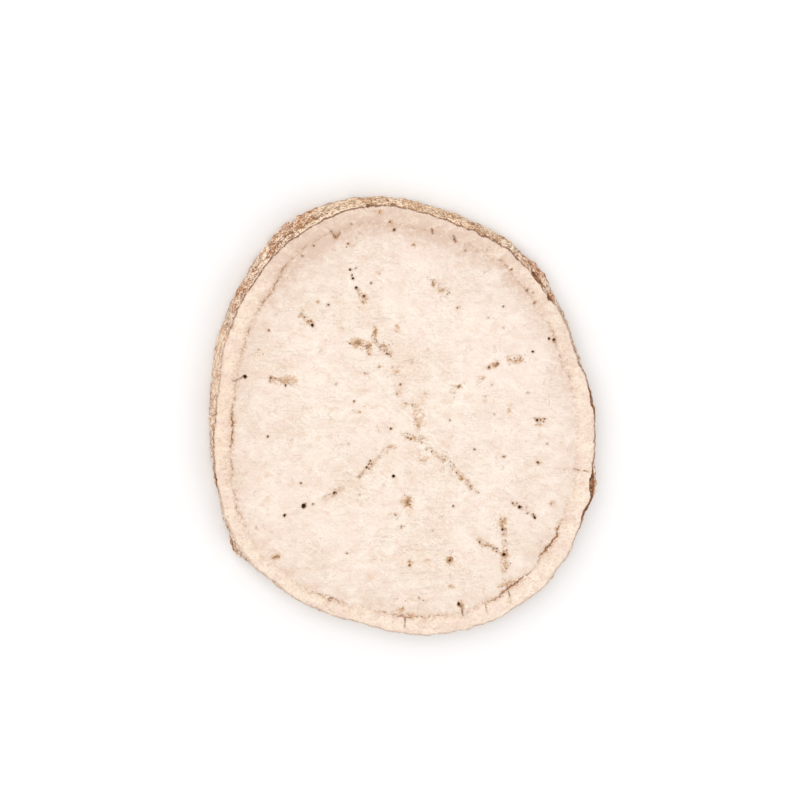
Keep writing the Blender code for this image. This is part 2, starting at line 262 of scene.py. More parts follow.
# Rusty stretches of the cork's wall: angle and half width in degrees, and strength.
RUSTY_WALL = (
    (47, 3.5, 1.00), (65, 4.0, 0.60), (75, 4.0, 0.40), (85, 3.0, 0.65), (95, 4.0, 0.30),
    (122, 4.0, 0.50), (140, 8.0, 0.30),
)

# Brown stains of the cut face: place, half width, half height and strength.
STAINS = (
    (-5.7, 8.9, 0.70, 0.45, 1.00), (-4.4, 8.5, 0.35, 0.35, 0.80), (-4.3, 7.7, 0.40, 0.25, 0.60),
    (-1.1, 10.5, 0.30, 0.45, 0.60), (-10.2, 13.8, 0.35, 0.25, 0.45), (-13.7, 4.9, 0.95, 0.45, 0.58),
    (-5.8, 0.9, 0.70, 0.30, 0.35), (-1.2, 5.4, 0.40, 0.30, 0.40), (-4.9, 5.3, 0.80, 0.20, 0.30),
    (-8.1, 4.3, 0.35, 0.30, 0.25), (0.1, -10.0, 0.60, 0.60, 0.85), (-1.6, -11.4, 0.60, 0.35, 0.30),
    (2.0, -4.9, 0.70, 0.50, 0.35), (4.2, -6.4, 0.45, 0.35, 0.30), (-1.6, -3.4, 0.70, 0.30, 0.45),
    (6.5, -7.4, 0.50, 0.35, 0.60), (11.3, -13.0, 0.45, 0.70, 0.70), (11.6, -16.8, 0.50, 0.45, 0.75),
    (11.7, -17.9, 0.50, 0.40, 0.45), (11.3, -20.6, 0.50, 0.35, 0.40), (5.2, -17.1, 0.50, 0.50, 0.70),
    (5.3, -20.3, 0.45, 0.35, 0.50), (3.2, 15.5, 0.30, 0.50, 0.50), (4.0, 14.6, 0.40, 0.35, 0.45),
    (6.1, 12.7, 0.35, 0.25, 0.35), (14.2, 2.4, 0.35, 0.20, 0.35), (12.1, 0.6, 0.30, 0.90, 0.35),
    (11.4, -5.0, 0.35, 0.25, 0.35), (15.5, -5.9, 0.35, 0.20, 0.50), (8.7, 4.4, 0.70, 0.25, 0.40),
    (12.8, 6.2, 0.90, 0.30, 0.60), (10.2, 5.7, 0.50, 0.30, 0.60), (6.1, 3.4, 0.60, 0.25, 0.50),
    (-15.2, -15.8, 0.55, 0.30, 0.90), (-4.8, 14.0, 0.30, 0.50, 0.55), (1.4, -1.0, 0.35, 0.60, 0.60),
    (0.9, -2.5, 1.25, 0.30, 0.50), (-3.6, 10.0, 0.25, 0.70, 0.70), (-2.6, 8.4, 0.50, 0.30, 0.60),
    (-1.9, 7.6, 0.25, 0.35, 0.60), (0.5, -17.2, 0.35, 0.30, 0.50), (-0.5, -12.9, 0.35, 0.35, 0.35),
    (2.6, -17.1, 0.45, 0.35, 0.30), (9.5, -15.5, 0.60, 0.30, 0.60), (0.4, -23.5, 0.70, 0.30, 0.50),
    (-0.7, -22.9, 0.45, 0.35, 0.50), (6.5, -22.6, 0.35, 0.50, 0.70), (12.0, -20.1, 0.70, 0.50, 0.50),
    (-12.0, 12.7, 0.35, 0.35, 0.35), (-11.2, 11.5, 0.50, 0.30, 0.60), (-17.0, 8.4, 0.30, 0.50, 0.25),
    (1.1, -21.7, 1.70, 0.35, 0.25), (15.5, -1.4, 0.70, 0.20, 0.50), (-6.8, 20.3, 0.35, 0.30, 0.30),
    (-8.2, 21.4, 0.35, 0.35, 0.60), (-1.8, 22.6, 0.25, 0.45, 0.50), (-3.2, 23.9, 0.50, 0.30, 0.60),
    (0.8, 20.0, 0.35, 0.25, 0.30), (1.4, 0.2, 1.10, 1.90, 0.32), (0.0, 1.6, 1.40, 0.60, 0.28),
    (-0.9, 3.2, 0.60, 0.80, 0.24), (2.0, 2.6, 0.60, 0.50, 0.20), (4.6, -5.2, 0.80, 0.80, 0.20),
    (9.2, 1.7, 0.45, 0.90, 0.22), (-1.2, 5.9, 0.90, 0.30, 0.22), (-2.9, 6.0, 0.70, 0.25, 0.20),
)

# Small lone vessels, too narrow for the solid: place and how dark each is.
LONE_SPOTS = (
    (-6.8, -2.9, 0.35), (-5.5, -8.9, 0.35), (-0.6, -12.9, 0.70), (3.1, -13.5, 0.50), (-7.0, -15.8, 0.60),
    (-17.5, -12.3, 0.35), (16.5, -3.7, 0.45), (17.1, -10.9, 0.50), (-15.9, 10.7, 0.70), (-10.7, 20.3, 0.70),
    (-6.4, 22.7, 0.50), (9.3, 19.3, 0.35), (6.8, 19.2, 0.50), (9.5, 11.3, 0.40), (11.3, 10.1, 0.40),
    (10.3, 0.0, 0.35), (10.0, 3.5, 0.35), (-8.5, -8.6, 0.80), (-11.8, -9.7, 0.60), (-15.8, 4.8, 0.70),
    (-5.9, 17.6, 0.70), (15.8, -0.9, 0.90), (17.3, 8.2, 0.50), (-0.1, 1.7, 0.35), (1.0, 1.5, 0.35),
    (11.4, -5.0, 0.90), (14.9, 12.9, 0.45), (14.6, 14.0, 0.50), (-6.3, 16.8, 0.90), (5.5, 20.6, 0.90),
)

# The other small vessels are drawn at random beside the rows and in the stains, and mostly pale.
SPOT_SEED = 5
SPOT_RADII = (0.08, 0.125)
SPOT_TONES = (0.35, 0.95)
ROW_SPOTS_PER_MM = 1.5
ROW_SPREAD = 0.18
STAIN_SPREAD = 0.60


def ring_value(values, angle):
    """A smooth closed curve through values that stand at equal steps of angle from +X."""
    values = np.asarray(values, float)
    place = (angle / math.tau) % 1.0 * len(values)
    i = place.astype(int)
    t = place - i
    a, b, c, d = (values[(i + k) % len(values)] for k in (-1, 0, 1, 2))
    return b + 0.5 * t * (c - a + t * (2 * a - 5 * b + 4 * c - d + t * (3 * (b - c) + d - a)))


def turn_from(centre, angle):
    """Degrees from a direction to an angle, between -180 and 180."""
    return (np.degrees(angle) - centre + 180) % 360 - 180


def noise_at(x, y, z):
    """Noise at many points."""
    points = np.broadcast_arrays(x, y, z)
    return np.array([noise.noise(p) for p in zip(*(q.tolist() for q in points))])


def ripple(x, y, size, seed):
    """Noise from about -1 to 1 whose lumps are about size across."""
    return noise_at(x / size, y / size, seed)


def hill(distance, half_width):
    """1 at no distance, falling smoothly to almost 0 at twice the half width."""
    return np.exp(-((distance / half_width) ** 2))


def fade(value, low, high):
    """0 below low and 1 above high, with a smooth step between."""
    t = np.clip((value - low) / (high - low), 0, 1)
    return t * t * (3 - 2 * t)


def wandered(x, y):
    """The place that a point's trenches are looked up at, so that they are never quite straight."""
    along = ripple(x, y, WANDER_SIZE, 31.4)
    across = ripple(x, y, WANDER_SIZE, 47.9)
    return x + WANDER_REACH * along, y + WANDER_REACH * across


def from_segment(x, y, x0, y0, x1, y1):
    """Distance from points to a straight stretch."""
    dx, dy = x1 - x0, y1 - y0
    t = np.clip(((x - x0) * dx + (y - y0) * dy) / (dx * dx + dy * dy), 0, 1)
    return np.hypot(x - x0 - t * dx, y - y0 - t * dy)


def trench(x, y, stretches, depth):
    """Depth of the deepest of several straight trenches."""
    deepest = np.zeros_like(x)
    for x0, y0, x1, y1, width in stretches:
        away = from_segment(x, y, x0, y0, x1, y1)
        deepest = np.maximum(deepest, np.where(away < width, depth * hill(away, width / 2), 0))
    return deepest


def edge_of_nearest(x, y, stretches):
    """Distance outside the nearest stretch's trench."""
    nearest = np.full_like(x, FAR_AWAY)
    for x0, y0, x1, y1, width in stretches:
        nearest = np.minimum(nearest, from_segment(x, y, x0, y0, x1, y1) - width / 2)
    return nearest


def pore_depth(x, y, narrowest=0.0):
    """Depth of the deepest pore, of those that are wide enough."""
    deepest = np.zeros_like(x)
    for px, py, width in PORES:
        if width >= narrowest:
            away = np.hypot(x - px, y - py)
            depth = min(DEEPEST_PORE, width * PORE_DEPTH_PER_WIDTH)
            pit = depth * hill(away, width / PORE_STEEPNESS)
            deepest = np.maximum(deepest, np.where(away < width, pit, 0))
    return deepest


def nearest_pore(x, y):
    """Distance outside the nearest pore's dark mouth, and how dark that pore is."""
    nearest, dark = np.full_like(x, FAR_AWAY), np.zeros_like(x)
    for (px, py, width), tone in zip(PORES, PORE_TONES):
        away = np.hypot(x - px, y - py) - MOUTH_SHARE * (1 + tone) * width
        dark = np.where(away < nearest, tone, dark)
        nearest = np.minimum(nearest, away)
    return nearest, dark


def small_spots():
    """Place, radius and darkness of the vessels that are too narrow for the solid."""
    draw = random.Random(SPOT_SEED)
    spots = [(x, y, SPOT_RADII[1], tone) for x, y, tone in LONE_SPOTS]

    def add(x, y):
        """Adds a small vessel of random size and darkness, most often a pale one."""
        low, high = SPOT_TONES
        spots.append((x, y, draw.uniform(*SPOT_RADII), low + (high - low) * draw.random() ** 3))

    for x0, y0, x1, y1, _ in VESSEL_ROWS:
        for _ in range(1 + round(ROW_SPOTS_PER_MM * math.dist((x0, y0), (x1, y1)))):
            t = draw.random()
            x, y = x0 + t * (x1 - x0), y0 + t * (y1 - y0)
            add(x + draw.gauss(0, ROW_SPREAD), y + draw.gauss(0, ROW_SPREAD))
    for x, y, half_width, half_height, _ in STAINS:
        across, along = draw.uniform(-STAIN_SPREAD, STAIN_SPREAD), draw.uniform(-STAIN_SPREAD, STAIN_SPREAD)
        add(x + half_width * across, y + half_height * along)
    return spots


SMALL_SPOTS = small_spots()


def nearest_spot(x, y):
    """Distance outside the nearest spot, and how dark that spot is."""
    nearest, dark = np.full_like(x, FAR_AWAY), np.zeros_like(x)
    for px, py, radius, tone in SMALL_SPOTS:
        away = np.hypot(x - px, y - py) - radius
        dark = np.where(away < nearest, tone, dark)
        nearest = np.minimum(nearest, away)
    return nearest, dark


def crack_strength(angle, seed):
    """How open the cambium crack is at an angle, up to 1: it comes and goes round the ring."""
    wander = ripple(MEAN_RADIUS * np.cos(angle), MEAN_RADIUS * np.sin(angle), OPENING_SIZE, seed)
    return np.minimum(1.0, ring_value(CRACK_OPEN, angle) * (1 + wander))


def ring_depth(x, y, angle, inward, seed):
    """Depth of the two lines that run round a cut face, at a distance inward from its edge."""
    inward = inward + WANDER_REACH * ripple(x, y, WANDER_SIZE, seed)
    bark = ring_value(BARK_WIDTHS, angle)
    gaps = np.clip(0.45 + 1.6 * ripple(x, y, GAP_SIZE, seed + 2), 0.1, 1)
    strength = gaps * crack_strength(angle, seed) ** 2
    crack = CRACK_DEPTH * strength * hill(inward - bark, 0.75 * CRACK_WIDTH)
    cork = CORK_LINE_DEPTH * hill(inward - ring_value(CORK_WIDTHS, angle), CORK_LINE_WIDTH)
    return crack + cork


def edge_depth(x, y, inward, seed):
    """How far the rounded and chipped edge of a cut face falls away."""
    rounding = EDGE_DROP * np.maximum(0, 1 - inward / EDGE_ROUND) ** 2
    chip = np.maximum(0, ripple(x, y, CHIP_SIZE, seed) - CHIP_START)
    return rounding + CHIP_DEPTH * (chip * np.maximum(0, 1 - inward / CHIP_REACH))


def ray_height(x, y, angle):
    """Height of the rays of wood, which fade out towards the pith."""
    radius = np.hypot(x, y)
    start = np.clip((radius - RAY_START) / RAY_START, 0, 1)
    turns = RAYS_PER_RADIAN * np.cos(angle), RAYS_PER_RADIAN * np.sin(angle)
    return RAY_HEIGHT * start * noise_at(*turns, 0.06 * radius)


def upper_face(x, y, angle, inward):
    """Height of the upper cut face."""
    bark = ring_value(BARK_WIDTHS, angle)
    in_bark = np.clip((bark - inward) / BARK_STEP, 0, 1)
    height = THICKNESS + BARK_RISE * in_bark
    height += WAVE_HEIGHT * ripple(x, y, WAVE_SIZE, 3.1)
    height += FIBRE_HEIGHT * ripple(x, y, FIBRE_SIZE, 7.7)
    height += (1 - in_bark) * ray_height(x, y, angle)
    height -= ring_depth(x, y, angle, inward, UPPER_RING_SEED) + edge_depth(x, y, inward, 5.5)
    wx, wy = wandered(x, y)
    height -= trench(wx, wy, VESSEL_ROWS, ROW_DEPTH) + trench(wx, wy, BARK_CRACKS, BARK_CRACK_DEPTH)
    return height - pore_depth(x, y)


def lower_face(x, y, angle, inward):
    """Height of the lower cut face, which is exactly 0 where it rests."""
    middle = np.clip(np.hypot(x, y) - REST_RADIUS, 0, 1)
    height = HOLLOW_DEPTH * np.maximum(0, ripple(x, y, HOLLOW_SIZE, 20.6)) * middle
    height += ring_depth(x, y, angle, inward, LOWER_RING_SEED) + edge_depth(x, y, inward, 17.2)
    height += pore_depth(x, y, THROUGH_PORE_WIDTH)
    return np.where(height < FLAT_BELOW, 0.0, height)


def torn_fibres(x, y, seed):
    """Relief of the cut face's torn fibres and starch grains."""
    torn = TORN_HEIGHT * ripple(x, y, TORN_SIZE, seed)
    return torn + GRAIN_HEIGHT * ripple(x, y, GRAIN_SIZE, seed + 5)


def cork_offset(angle, height):
    """How far the cork stands out from the cut face's outline, at a height from 0 to 1."""
    x, y = MEAN_RADIUS * np.cos(angle), MEAN_RADIUS * np.sin(angle)
    offset = BELLY * 4 * height * (1 - height)
    offset += WRINKLE_DEPTH * noise_at(x / WRINKLE_SIZE, y / WRINKLE_SIZE, 0.7 * height)
    layer = 17 + THICKNESS * height / LAYER_SPACING
    offset += LAYER_DEPTH * noise_at(x / LAYER_LENGTH, y / LAYER_LENGTH, layer)
    offset += CRINKLE_DEPTH * noise_at(x / CRINKLE_SIZE, y / CRINKLE_SIZE, 9 + 3 * height)
    for centre, half_width, middle, half_height, amount in CORK_LUMPS:
        turn = turn_from(centre, angle)
        lump = amount * hill(turn, half_width) * hill(height - middle, half_height)
        offset += np.where(np.abs(turn) < 3 * half_width, lump, 0)
    return offset


def cork_skin(angle, height):
    """The crumpled skin on the cork's wall, which is weakest at the upper cut face."""
    x, y, z = MEAN_RADIUS * np.cos(angle), MEAN_RADIUS * np.sin(angle), THICKNESS * height
    crumple = noise_at(x / SKIN_SIZE, y / SKIN_SIZE, z / (2 * SKIN_SIZE) + 60)
    crumple += 0.5 * noise_at(2.1 * x / SKIN_SIZE, 2.1 * y / SKIN_SIZE, z / SKIN_SIZE + 90)
    return SKIN_DEPTH * crumple * np.clip(6 * (1 - height), 0.35, 1)


def to_disc(points):
    """Rounds points of a box from -1 to 1 to the slice's outline: x, y and height from 0 to 1."""
    a, b, c = points.T
    wide = np.abs(a) >= np.abs(b)
    with np.errstate(divide="ignore", invalid="ignore"):
        angle_wide = math.pi / 4 * np.where(a == 0, 0, b / a) + np.where(a < 0, math.pi, 0)
        angle_tall = math.pi / 2 - math.pi / 4 * a / b + np.where(b < 0, math.pi, 0)
    angle = np.where(wide, angle_wide, angle_tall)
    radius = np.maximum(np.abs(a), np.abs(b)) * ring_value(FACE_RADII, angle)
    return radius * np.cos(angle), radius * np.sin(angle), (c + 1) / 2


def box_points(bm):
    """The corners of a mesh as an array."""
    return np.array([v.co for v in bm.verts], float)


def box_grid():
    """A box from -1 to 1 cut into a grid, closed."""
    bm = bmesh.new()
    bmesh.ops.create_cube(bm, size=2)
    upright = [e for e in bm.edges if abs(e.verts[0].co.z - e.verts[1].co.z) > 1]
    bmesh.ops.subdivide_edges(bm, edges=upright, cuts=WALL_ROWS - 1, use_grid_fill=True)
    level = [e for e in bm.edges if abs(e.verts[0].co.z - e.verts[1].co.z) < 0.001]
    bmesh.ops.subdivide_edges(bm, edges=level, cuts=FACE_CELLS - 1, use_grid_fill=True)
    return bm


def refine(bm, fine):
    """Halves the grid between the corners that are marked as fine."""
    bm.verts.index_update()
    edges = [e for e in bm.edges if fine[e.verts[0].index] and fine[e.verts[1].index]]
    bmesh.ops.subdivide_edges(bm, edges=edges, cuts=1, use_grid_fill=True)


def on_cut_face(height):
    """Which points lie on the lower or upper cut face."""
    return (height < 0.001) | (height > 0.999)


def near_lines(bm):
    """Corners that lie near a ring, a row of vessels or a pore."""
    x, y, height = to_disc(box_points(bm))
    angle = np.arctan2(y, x)
    inward = ring_value(FACE_RADII, angle) - np.hypot(x, y)
    from_crack = np.abs(inward - ring_value(BARK_WIDTHS, angle))
    near = (inward < NEAR_EDGE) | (from_crack < NEAR_CRACK)
    near |= np.minimum(nearest_pore(x, y)[0], nearest_spot(x, y)[0]) < NEAR_PORE
    near |= edge_of_nearest(x, y, VESSEL_ROWS) < NEAR_ROW
    near |= edge_of_nearest(x, y, BARK_CRACKS) < NEAR_ROW
    return near & on_cut_face(height)


def near_pores(bm, reach):
    """Corners of the upper face that lie in a pore or spot, or just outside."""
    x, y, height = to_disc(box_points(bm))
    nearest = np.minimum(nearest_pore(x, y)[0], nearest_spot(x, y)[0] + SPOT_LAG)
    return (nearest < reach) & (height > 0.999)


def shaped(x, y, height):
    """The finished places of points of the rounded box."""
    angle = np.arctan2(y, x)
    edge = ring_value(FACE_RADII, angle)
    share = np.minimum(1.0, np.hypot(x, y) / edge)
    offset = cork_offset(angle, height) + cork_skin(angle, height)
    radius = share * edge + share**4 * offset
    inward = (1 - share) * edge
    x, y = radius * np.cos(angle), radius * np.sin(angle)
    low = lower_face(x, y, angle, inward)
    low = np.where(low > 0, np.maximum(0, low + torn_fibres(x, y, 71.0)), 0)
    high = upper_face(x, y, angle, inward) + torn_fibres(x, y, 66.0)
    z = low + height * (high - low)
    places = np.stack([x + (1 - height) * LEAN_X, y + (1 - height) * LEAN_Y, z], 1)
    return places, angle, inward


def stains_at(x, y):
    """How strongly the cut face is stained, from 0 to about 1."""
    stain = np.zeros_like(x)
    for sx, sy, half_width, half_height, strength in STAINS:
        away = np.hypot((x - sx) / half_width, (y - sy) / half_height)
        stain = np.maximum(stain, strength * hill(away, 1.1))
    return stain


def edge_patches(angle, inward):
    """How strongly the edge of the cut face is covered with brown cork, from 0 to 1."""
    patch = np.zeros_like(angle)
    for centre, half_width, reach, strength in EDGE_PATCHES:
        here = reach * hill(turn_from(centre, angle), half_width) - inward
        patch = np.maximum(patch, strength * fade(here, -0.06, 0.10))
    return patch


def rusty_wall(angle):
    """How rusty the cork's wall is, from 0 to 1."""
    rusty = np.zeros_like(angle)
    for centre, half_width, strength in RUSTY_WALL:
        rusty = np.maximum(rusty, strength * hill(turn_from(centre, angle), half_width))
    return rusty


def on_side(angle, side):
    """1 in the middle of a side of the slice, falling smoothly to 0 away from it."""
    centre, half_width = side
    return hill(turn_from(centre, angle), half_width)


def shade_of(angle, depth):
    """How dark the cut face is at a depth inward from the crack: tone, and painted shade on the +Y side."""
    shade = ring_value(BARK_SHADES, angle) * hill(np.maximum(0, depth), 1.5)
    shade += 0.25 * hill(depth - 0.5, 1.4) + 0.06 * fade(depth, -1, 0) * fade(-depth, -8, -4)
    return shade + 0.25 * on_side(angle, SHADED_SIDE) * hill(depth - 2, 2.5)


def paint_layers(x, y, height, angle, inward):
    """What the material reads at each point, as lengths in millimetres or strengths from 0 to 1."""
    wx, wy = wandered(x, y)
    seed = np.where(height > 0.5, UPPER_RING_SEED, LOWER_RING_SEED)
    wander = WANDER_REACH * noise_at(x / WANDER_SIZE, y / WANDER_SIZE, seed)
    wall = ~on_cut_face(height)
    radius = np.hypot(x, y)
    depth = inward + wander - ring_value(BARK_WIDTHS, angle)
    fringe = np.where(height > 0, fade(-height, -0.24, -0.06), 0)
    rows = np.clip(-edge_of_nearest(wx, wy, VESSEL_ROWS) / 0.16 + 0.6, 0, 1)
    from_spot, spot_tone = nearest_spot(x, y)
    from_pore, pore_tone = nearest_pore(x, y)
    return {
        "wall": wall.astype(float),
        "inward": np.where(wall, 0, inward - ring_value(CORK_WIDTHS, angle) + CORK_WIDTH),
        "from_crack": np.where(wall, -2, depth),
        "crack_tone": ring_value(CRACK_OPEN, angle),
        "cork_tone": ring_value(CORK_TONES, angle),
        "patch": np.where(wall, 0, edge_patches(angle, inward)),
        "from_pore": np.where(wall, 1, np.minimum(1, from_pore)),
        "pore_tone": np.where(wall, 0, pore_tone),
        "from_spot": np.where(wall, 1, np.minimum(1, from_spot)),
        "spot_tone": np.where(wall, 0, spot_tone),
        "from_split": np.where(wall, 1, np.minimum(1, edge_of_nearest(wx, wy, BARK_CRACKS))),
        "rows": np.where(wall, 0, rows),
        "stain": np.where(wall, 0, stains_at(x, y)),
        # Darker tone near the crack, and partly painted shade on the +Y side.
        "shade": shade_of(angle, depth),
        "warm": on_side(angle, WARM_SIDE),
        "pale_wall": on_side(angle, PALE_SIDE),
        "tan_wall": on_side(angle, TAN_SIDE),
        "rusty": rusty_wall(angle),
        "rosy": on_side(angle, ROSY_SIDE) * fade(radius, 3, 12),
        "fringe": fringe,
        "ray": 0.5 + 0.5 * noise_at(9 * np.cos(angle), 9 * np.sin(angle), 0.08 * radius),
    }


def fine_slice():
    """The slice as one closed, finely cut mesh with its paint layers."""
    bm = box_grid()
    refine(bm, near_lines(bm))
    for reach in PORE_REACHES:
        refine(bm, near_pores(bm, reach))
    bmesh.ops.recalc_face_normals(bm, faces=bm.faces)
    x, y, height = to_disc(box_points(bm))
    places, angle, inward = shaped(x, y, height)
    places[:, :2] -= (places[:, :2].min(0) + places[:, :2].max(0)) / 2
    for vertex, place in zip(bm.verts, places):
        vertex.co = place
    bmesh.ops.triangulate(bm, faces=bm.faces)
    mesh = bpy.data.meshes.new("root_surface")
    bm.to_mesh(mesh)
    bm.free()
    mesh.vertices.foreach_set("co", (places * MM).astype(np.float32).ravel())
    for name, values in paint_layers(x, y, height, angle, inward).items():
        layer = mesh.attributes.new(name, "FLOAT", "POINT")
        layer.data.foreach_set("value", np.asarray(values, np.float32))
    mesh.shade_smooth()
    mesh.update()
    piece = bpy.data.objects.new("root_surface", mesh)
    bpy.context.scene.collection.objects.link(piece)
    return piece


class Paint:
    """Short names for the nodes of one material."""

    def __init__(self, name):
        self.material = bpy.data.materials.new(name)
        self.material.use_nodes = True
        self.nodes = self.material.node_tree.nodes
        self.links = self.material.node_tree.links
        self.shader = self.nodes["Principled BSDF"]
        self.place = self.nodes.new("ShaderNodeTexCoord").outputs["Object"]

    def put(self, value, socket):
        """Sets a socket to a number or colour, or links it to another socket."""
        if isinstance(value, bpy.types.NodeSocket):
            self.links.new(value, socket)
        else:
            socket.default_value = value

    def layer(self, name):
        """A paint layer of the mesh."""
        node = self.nodes.new("ShaderNodeAttribute")
        node.attribute_name = name
        return node.outputs["Fac"]

    def math(self, operation, a, b=0.0, c=0.0):
        """One sum, product or other simple operation."""
        node = self.nodes.new("ShaderNodeMath")
        node.operation = operation
        for value, socket in zip((a, b, c), node.inputs):
            self.put(value, socket)
        return node.outputs[0]

    def step(self, value, low, high, start=0.0, end=1.0):
        """A smooth step from start, at low, to end, at high."""
        node = self.nodes.new("ShaderNodeMapRange")
        node.interpolation_type = "SMOOTHSTEP"
        for part, socket in zip((value, low, high, start, end), node.inputs):
            self.put(part, socket)
        return node.outputs[0]

    def stretched(self, x, y, z, turn=0.0):
        """Places turned about +Z by some degrees and divided by sizes in millimetres."""
        node = self.nodes.new("ShaderNodeMapping")
        self.links.new(self.place, node.inputs["Vector"])
        if turn:
            turned = self.nodes.new("ShaderNodeMapping")
            self.links.new(self.place, turned.inputs["Vector"])
            turned.inputs["Rotation"].default_value = (0, 0, math.radians(turn))
            self.links.new(turned.outputs[0], node.inputs["Vector"])
        node.inputs["Scale"].default_value = (1000 / x, 1000 / y, 1000 / z)
        return node.outputs[0]

    def noise(self, sizes, detail=2.0, rough=0.5, warp=0.0, turn=0.0):
        """Cloudy noise from 0 to 1 whose lumps have these sizes in millimetres."""
        node = self.nodes.new("ShaderNodeTexNoise")
        self.links.new(self.stretched(*sizes, turn), node.inputs["Vector"])
        node.inputs["Scale"].default_value = 1.0
        node.inputs["Detail"].default_value = detail
        node.inputs["Roughness"].default_value = rough
        node.inputs["Distortion"].default_value = warp
        return node.outputs["Fac"]

    def dots(self, spacing, radius_low, radius_high, chance):
        """Round dots, one at most in each cell. A cell has one where its chance is above its luck."""
        node = self.nodes.new("ShaderNodeTexVoronoi")
        self.links.new(self.stretched(spacing, spacing, spacing * 3), node.inputs["Vector"])
        node.inputs["Scale"].default_value = 1.0
        luck = self.nodes.new("ShaderNodeSeparateColor")
        self.links.new(node.outputs["Color"], luck.inputs[0])
        reach = self.step(luck.outputs[0], 0, 1, radius_low / spacing, radius_high / spacing)
        edge = self.math("MULTIPLY", reach, 0.5)
        dot = self.step(node.outputs["Distance"], edge, reach, 1, 0)
        present = self.math("LESS_THAN", luck.outputs[1], chance)
        return self.math("MULTIPLY", dot, present)

    def mix(self, share, a, b):
        """Colour a with a share of colour b."""
        node = self.nodes.new("ShaderNodeMix")
        node.data_type = "RGBA"
        for value, socket in zip((share, a, b), (node.inputs[0], node.inputs[6], node.inputs[7])):
            self.put(value, socket)
        return node.outputs[2]

    def times(self, *values):
        """The product of several values."""
        product = values[0]
        for value in values[1:]:
            product = self.math("MULTIPLY", product, value)
        return product

    def veil(self, base, tint, *strengths):
        """A colour under a veil of another, as strong as the product of the strengths."""
        return self.mix(self.times(*strengths), base, colour(*tint))

    def veils(self, base, *rows):
        """A colour under veils of noise: the noise, where each starts and is full, strength and tint."""
        for value, low, high, strength, tint in rows:
            base = self.veil(base, tint, self.step(value, low, high), strength)
        return base

    def near(self, value, middle, full, gone):
        """1 up to full away from the middle, falling smoothly to 0 at gone."""
        away = self.math("ABSOLUTE", self.math("SUBTRACT", value, middle))
        return self.step(away, full, gone, 1, 0)

    def line(self, distance, half_width, wobble):
        """1 on a line and 0 away from it. The wobble is a length in millimetres."""
        return self.near(self.math("ADD", distance, wobble), 0.0, 0.25 * half_width, half_width)


def colour(red, green, blue):
    """A colour given as on a screen, from 0 to 255, with its light values worked out."""
    light = [c / 255 for c in (red, green, blue)]
    return (*[c / 12.92 if c < 0.04 else ((c + 0.055) / 1.055) ** 2.4 for c in light], 1.0)


def noises(p):
    """The clouds of noise that several paints share, from the finest to the largest."""
    n = SimpleNamespace(
        grain=p.noise((0.19, 0.16, 0.18), 2, 0.6),
        crumbs=p.noise((0.34, 0.34, 0.55), 2, 0.6),
        fine=p.noise((0.42, 0.33, 0.40), 3, 0.65, 0.3),
        broken=p.noise((0.45, 0.38, 0.40), 3, 0.7, 0.4),
        gaps=p.noise((0.60, 0.60, 0.60), 2, 0.7),
        slants=p.noise((1.4, 0.26, 0.8), 2, 0.6, 0.3, 35),
        streaks=p.noise((1.9, 0.30, 1.0), 2, 0.65, 0.4),
        medium=p.noise((1.4, 1.1, 1.2), 3, 0.6, 0.6),
        layers=p.noise((1.4, 1.4, 1.0), 3, 0.65, 0.8),
        tint=p.noise((2.8, 2.2, 2.4), 3, 0.60, 0.5),
        large=p.noise((5.0, 5.0, 5.0), 2, 0.55),
    )
    n.jitter = p.math("MULTIPLY_ADD", n.fine, 0.40, -0.20)
    n.patchy = p.step(n.large, 0.36, 0.64, 0.35, 1.0)
    return n


def ragged(p, n, name, amount):
    """A paint layer whose borders are made uneven by the fine noise."""
    return p.math("ADD", p.layer(name), p.times(n.jitter, amount))


def wood_paint(p, n):
    """Pale starchy wood with tan and white patches, grey grains, streaks and rays."""
    wood = p.mix(p.step(n.tint, 0.38, 0.62), colour(240, 225, 210), colour(237, 217, 203))
    wood = p.veils(
        wood,
        (n.medium, 0.50, 0.72, 0.85, (229, 203, 182)),
        (n.medium, 0.46, 0.28, 0.55, (249, 236, 223)),
        (n.large, 0.50, 0.68, 0.40, (230, 205, 183)),
        (n.fine, 0.52, 0.74, p.times(n.patchy, 0.50), (202, 184, 170)),
        (n.fine, 0.46, 0.30, 0.40, (255, 242, 229)),
        (n.streaks, 0.52, 0.72, p.times(n.patchy, 0.50), (206, 187, 172)),
        (n.slants, 0.46, 0.28, 0.40, (255, 245, 234)),
        (n.grain, 0.52, 0.74, p.times(n.patchy, 0.45), (184, 172, 162)),
        (n.grain, 0.46, 0.30, 0.25, (255, 244, 232)),
        (p.layer("ray"), 0.50, 0.85, 0.15, (220, 197, 177)),
    )
    return p.veil(wood, (248, 236, 230), p.layer("rosy"), 0.20)


def bark_paint(p, n):
    """The ring of bark, tanner than the wood and warmest on its warm side."""
    bark = p.mix(p.step(n.medium, 0.40, 0.66), colour(246, 227, 207), colour(234, 211, 190))
    bark = p.veil(bark, (238, 208, 178), p.layer("warm"), 0.45)
    return p.veils(
        bark,
        (n.fine, 0.50, 0.72, 0.65, (194, 167, 146)),
        (n.fine, 0.46, 0.30, 0.35, (250, 231, 213)),
        (n.slants, 0.48, 0.30, 0.45, (252, 236, 220)),
        (n.grain, 0.50, 0.72, 0.45, (182, 156, 136)),
        (n.tint, 0.50, 0.64, 0.35, (230, 202, 194)),
    )


def plain_face(p, n, from_crack):
    """Wood inside the crack and bark outside it, darkened by the shade layer: tone and painted shade."""
    in_bark = p.step(p.math("ADD", from_crack, n.jitter), -0.25, 0.10, 1, 0)
    face = p.mix(p.times(in_bark, 0.85), wood_paint(p, n), bark_paint(p, n))
    # Painted shade, partly darker tone: the shade layer darkens the face, most on the +Y side.
    shade = p.times(p.layer("shade"), p.step(n.medium, 0.30, 0.70, 0.65, 1.35))
    return p.veil(face, (216, 190, 172), shade, p.step(n.broken, 0.32, 0.66, 0.60, 1.40))


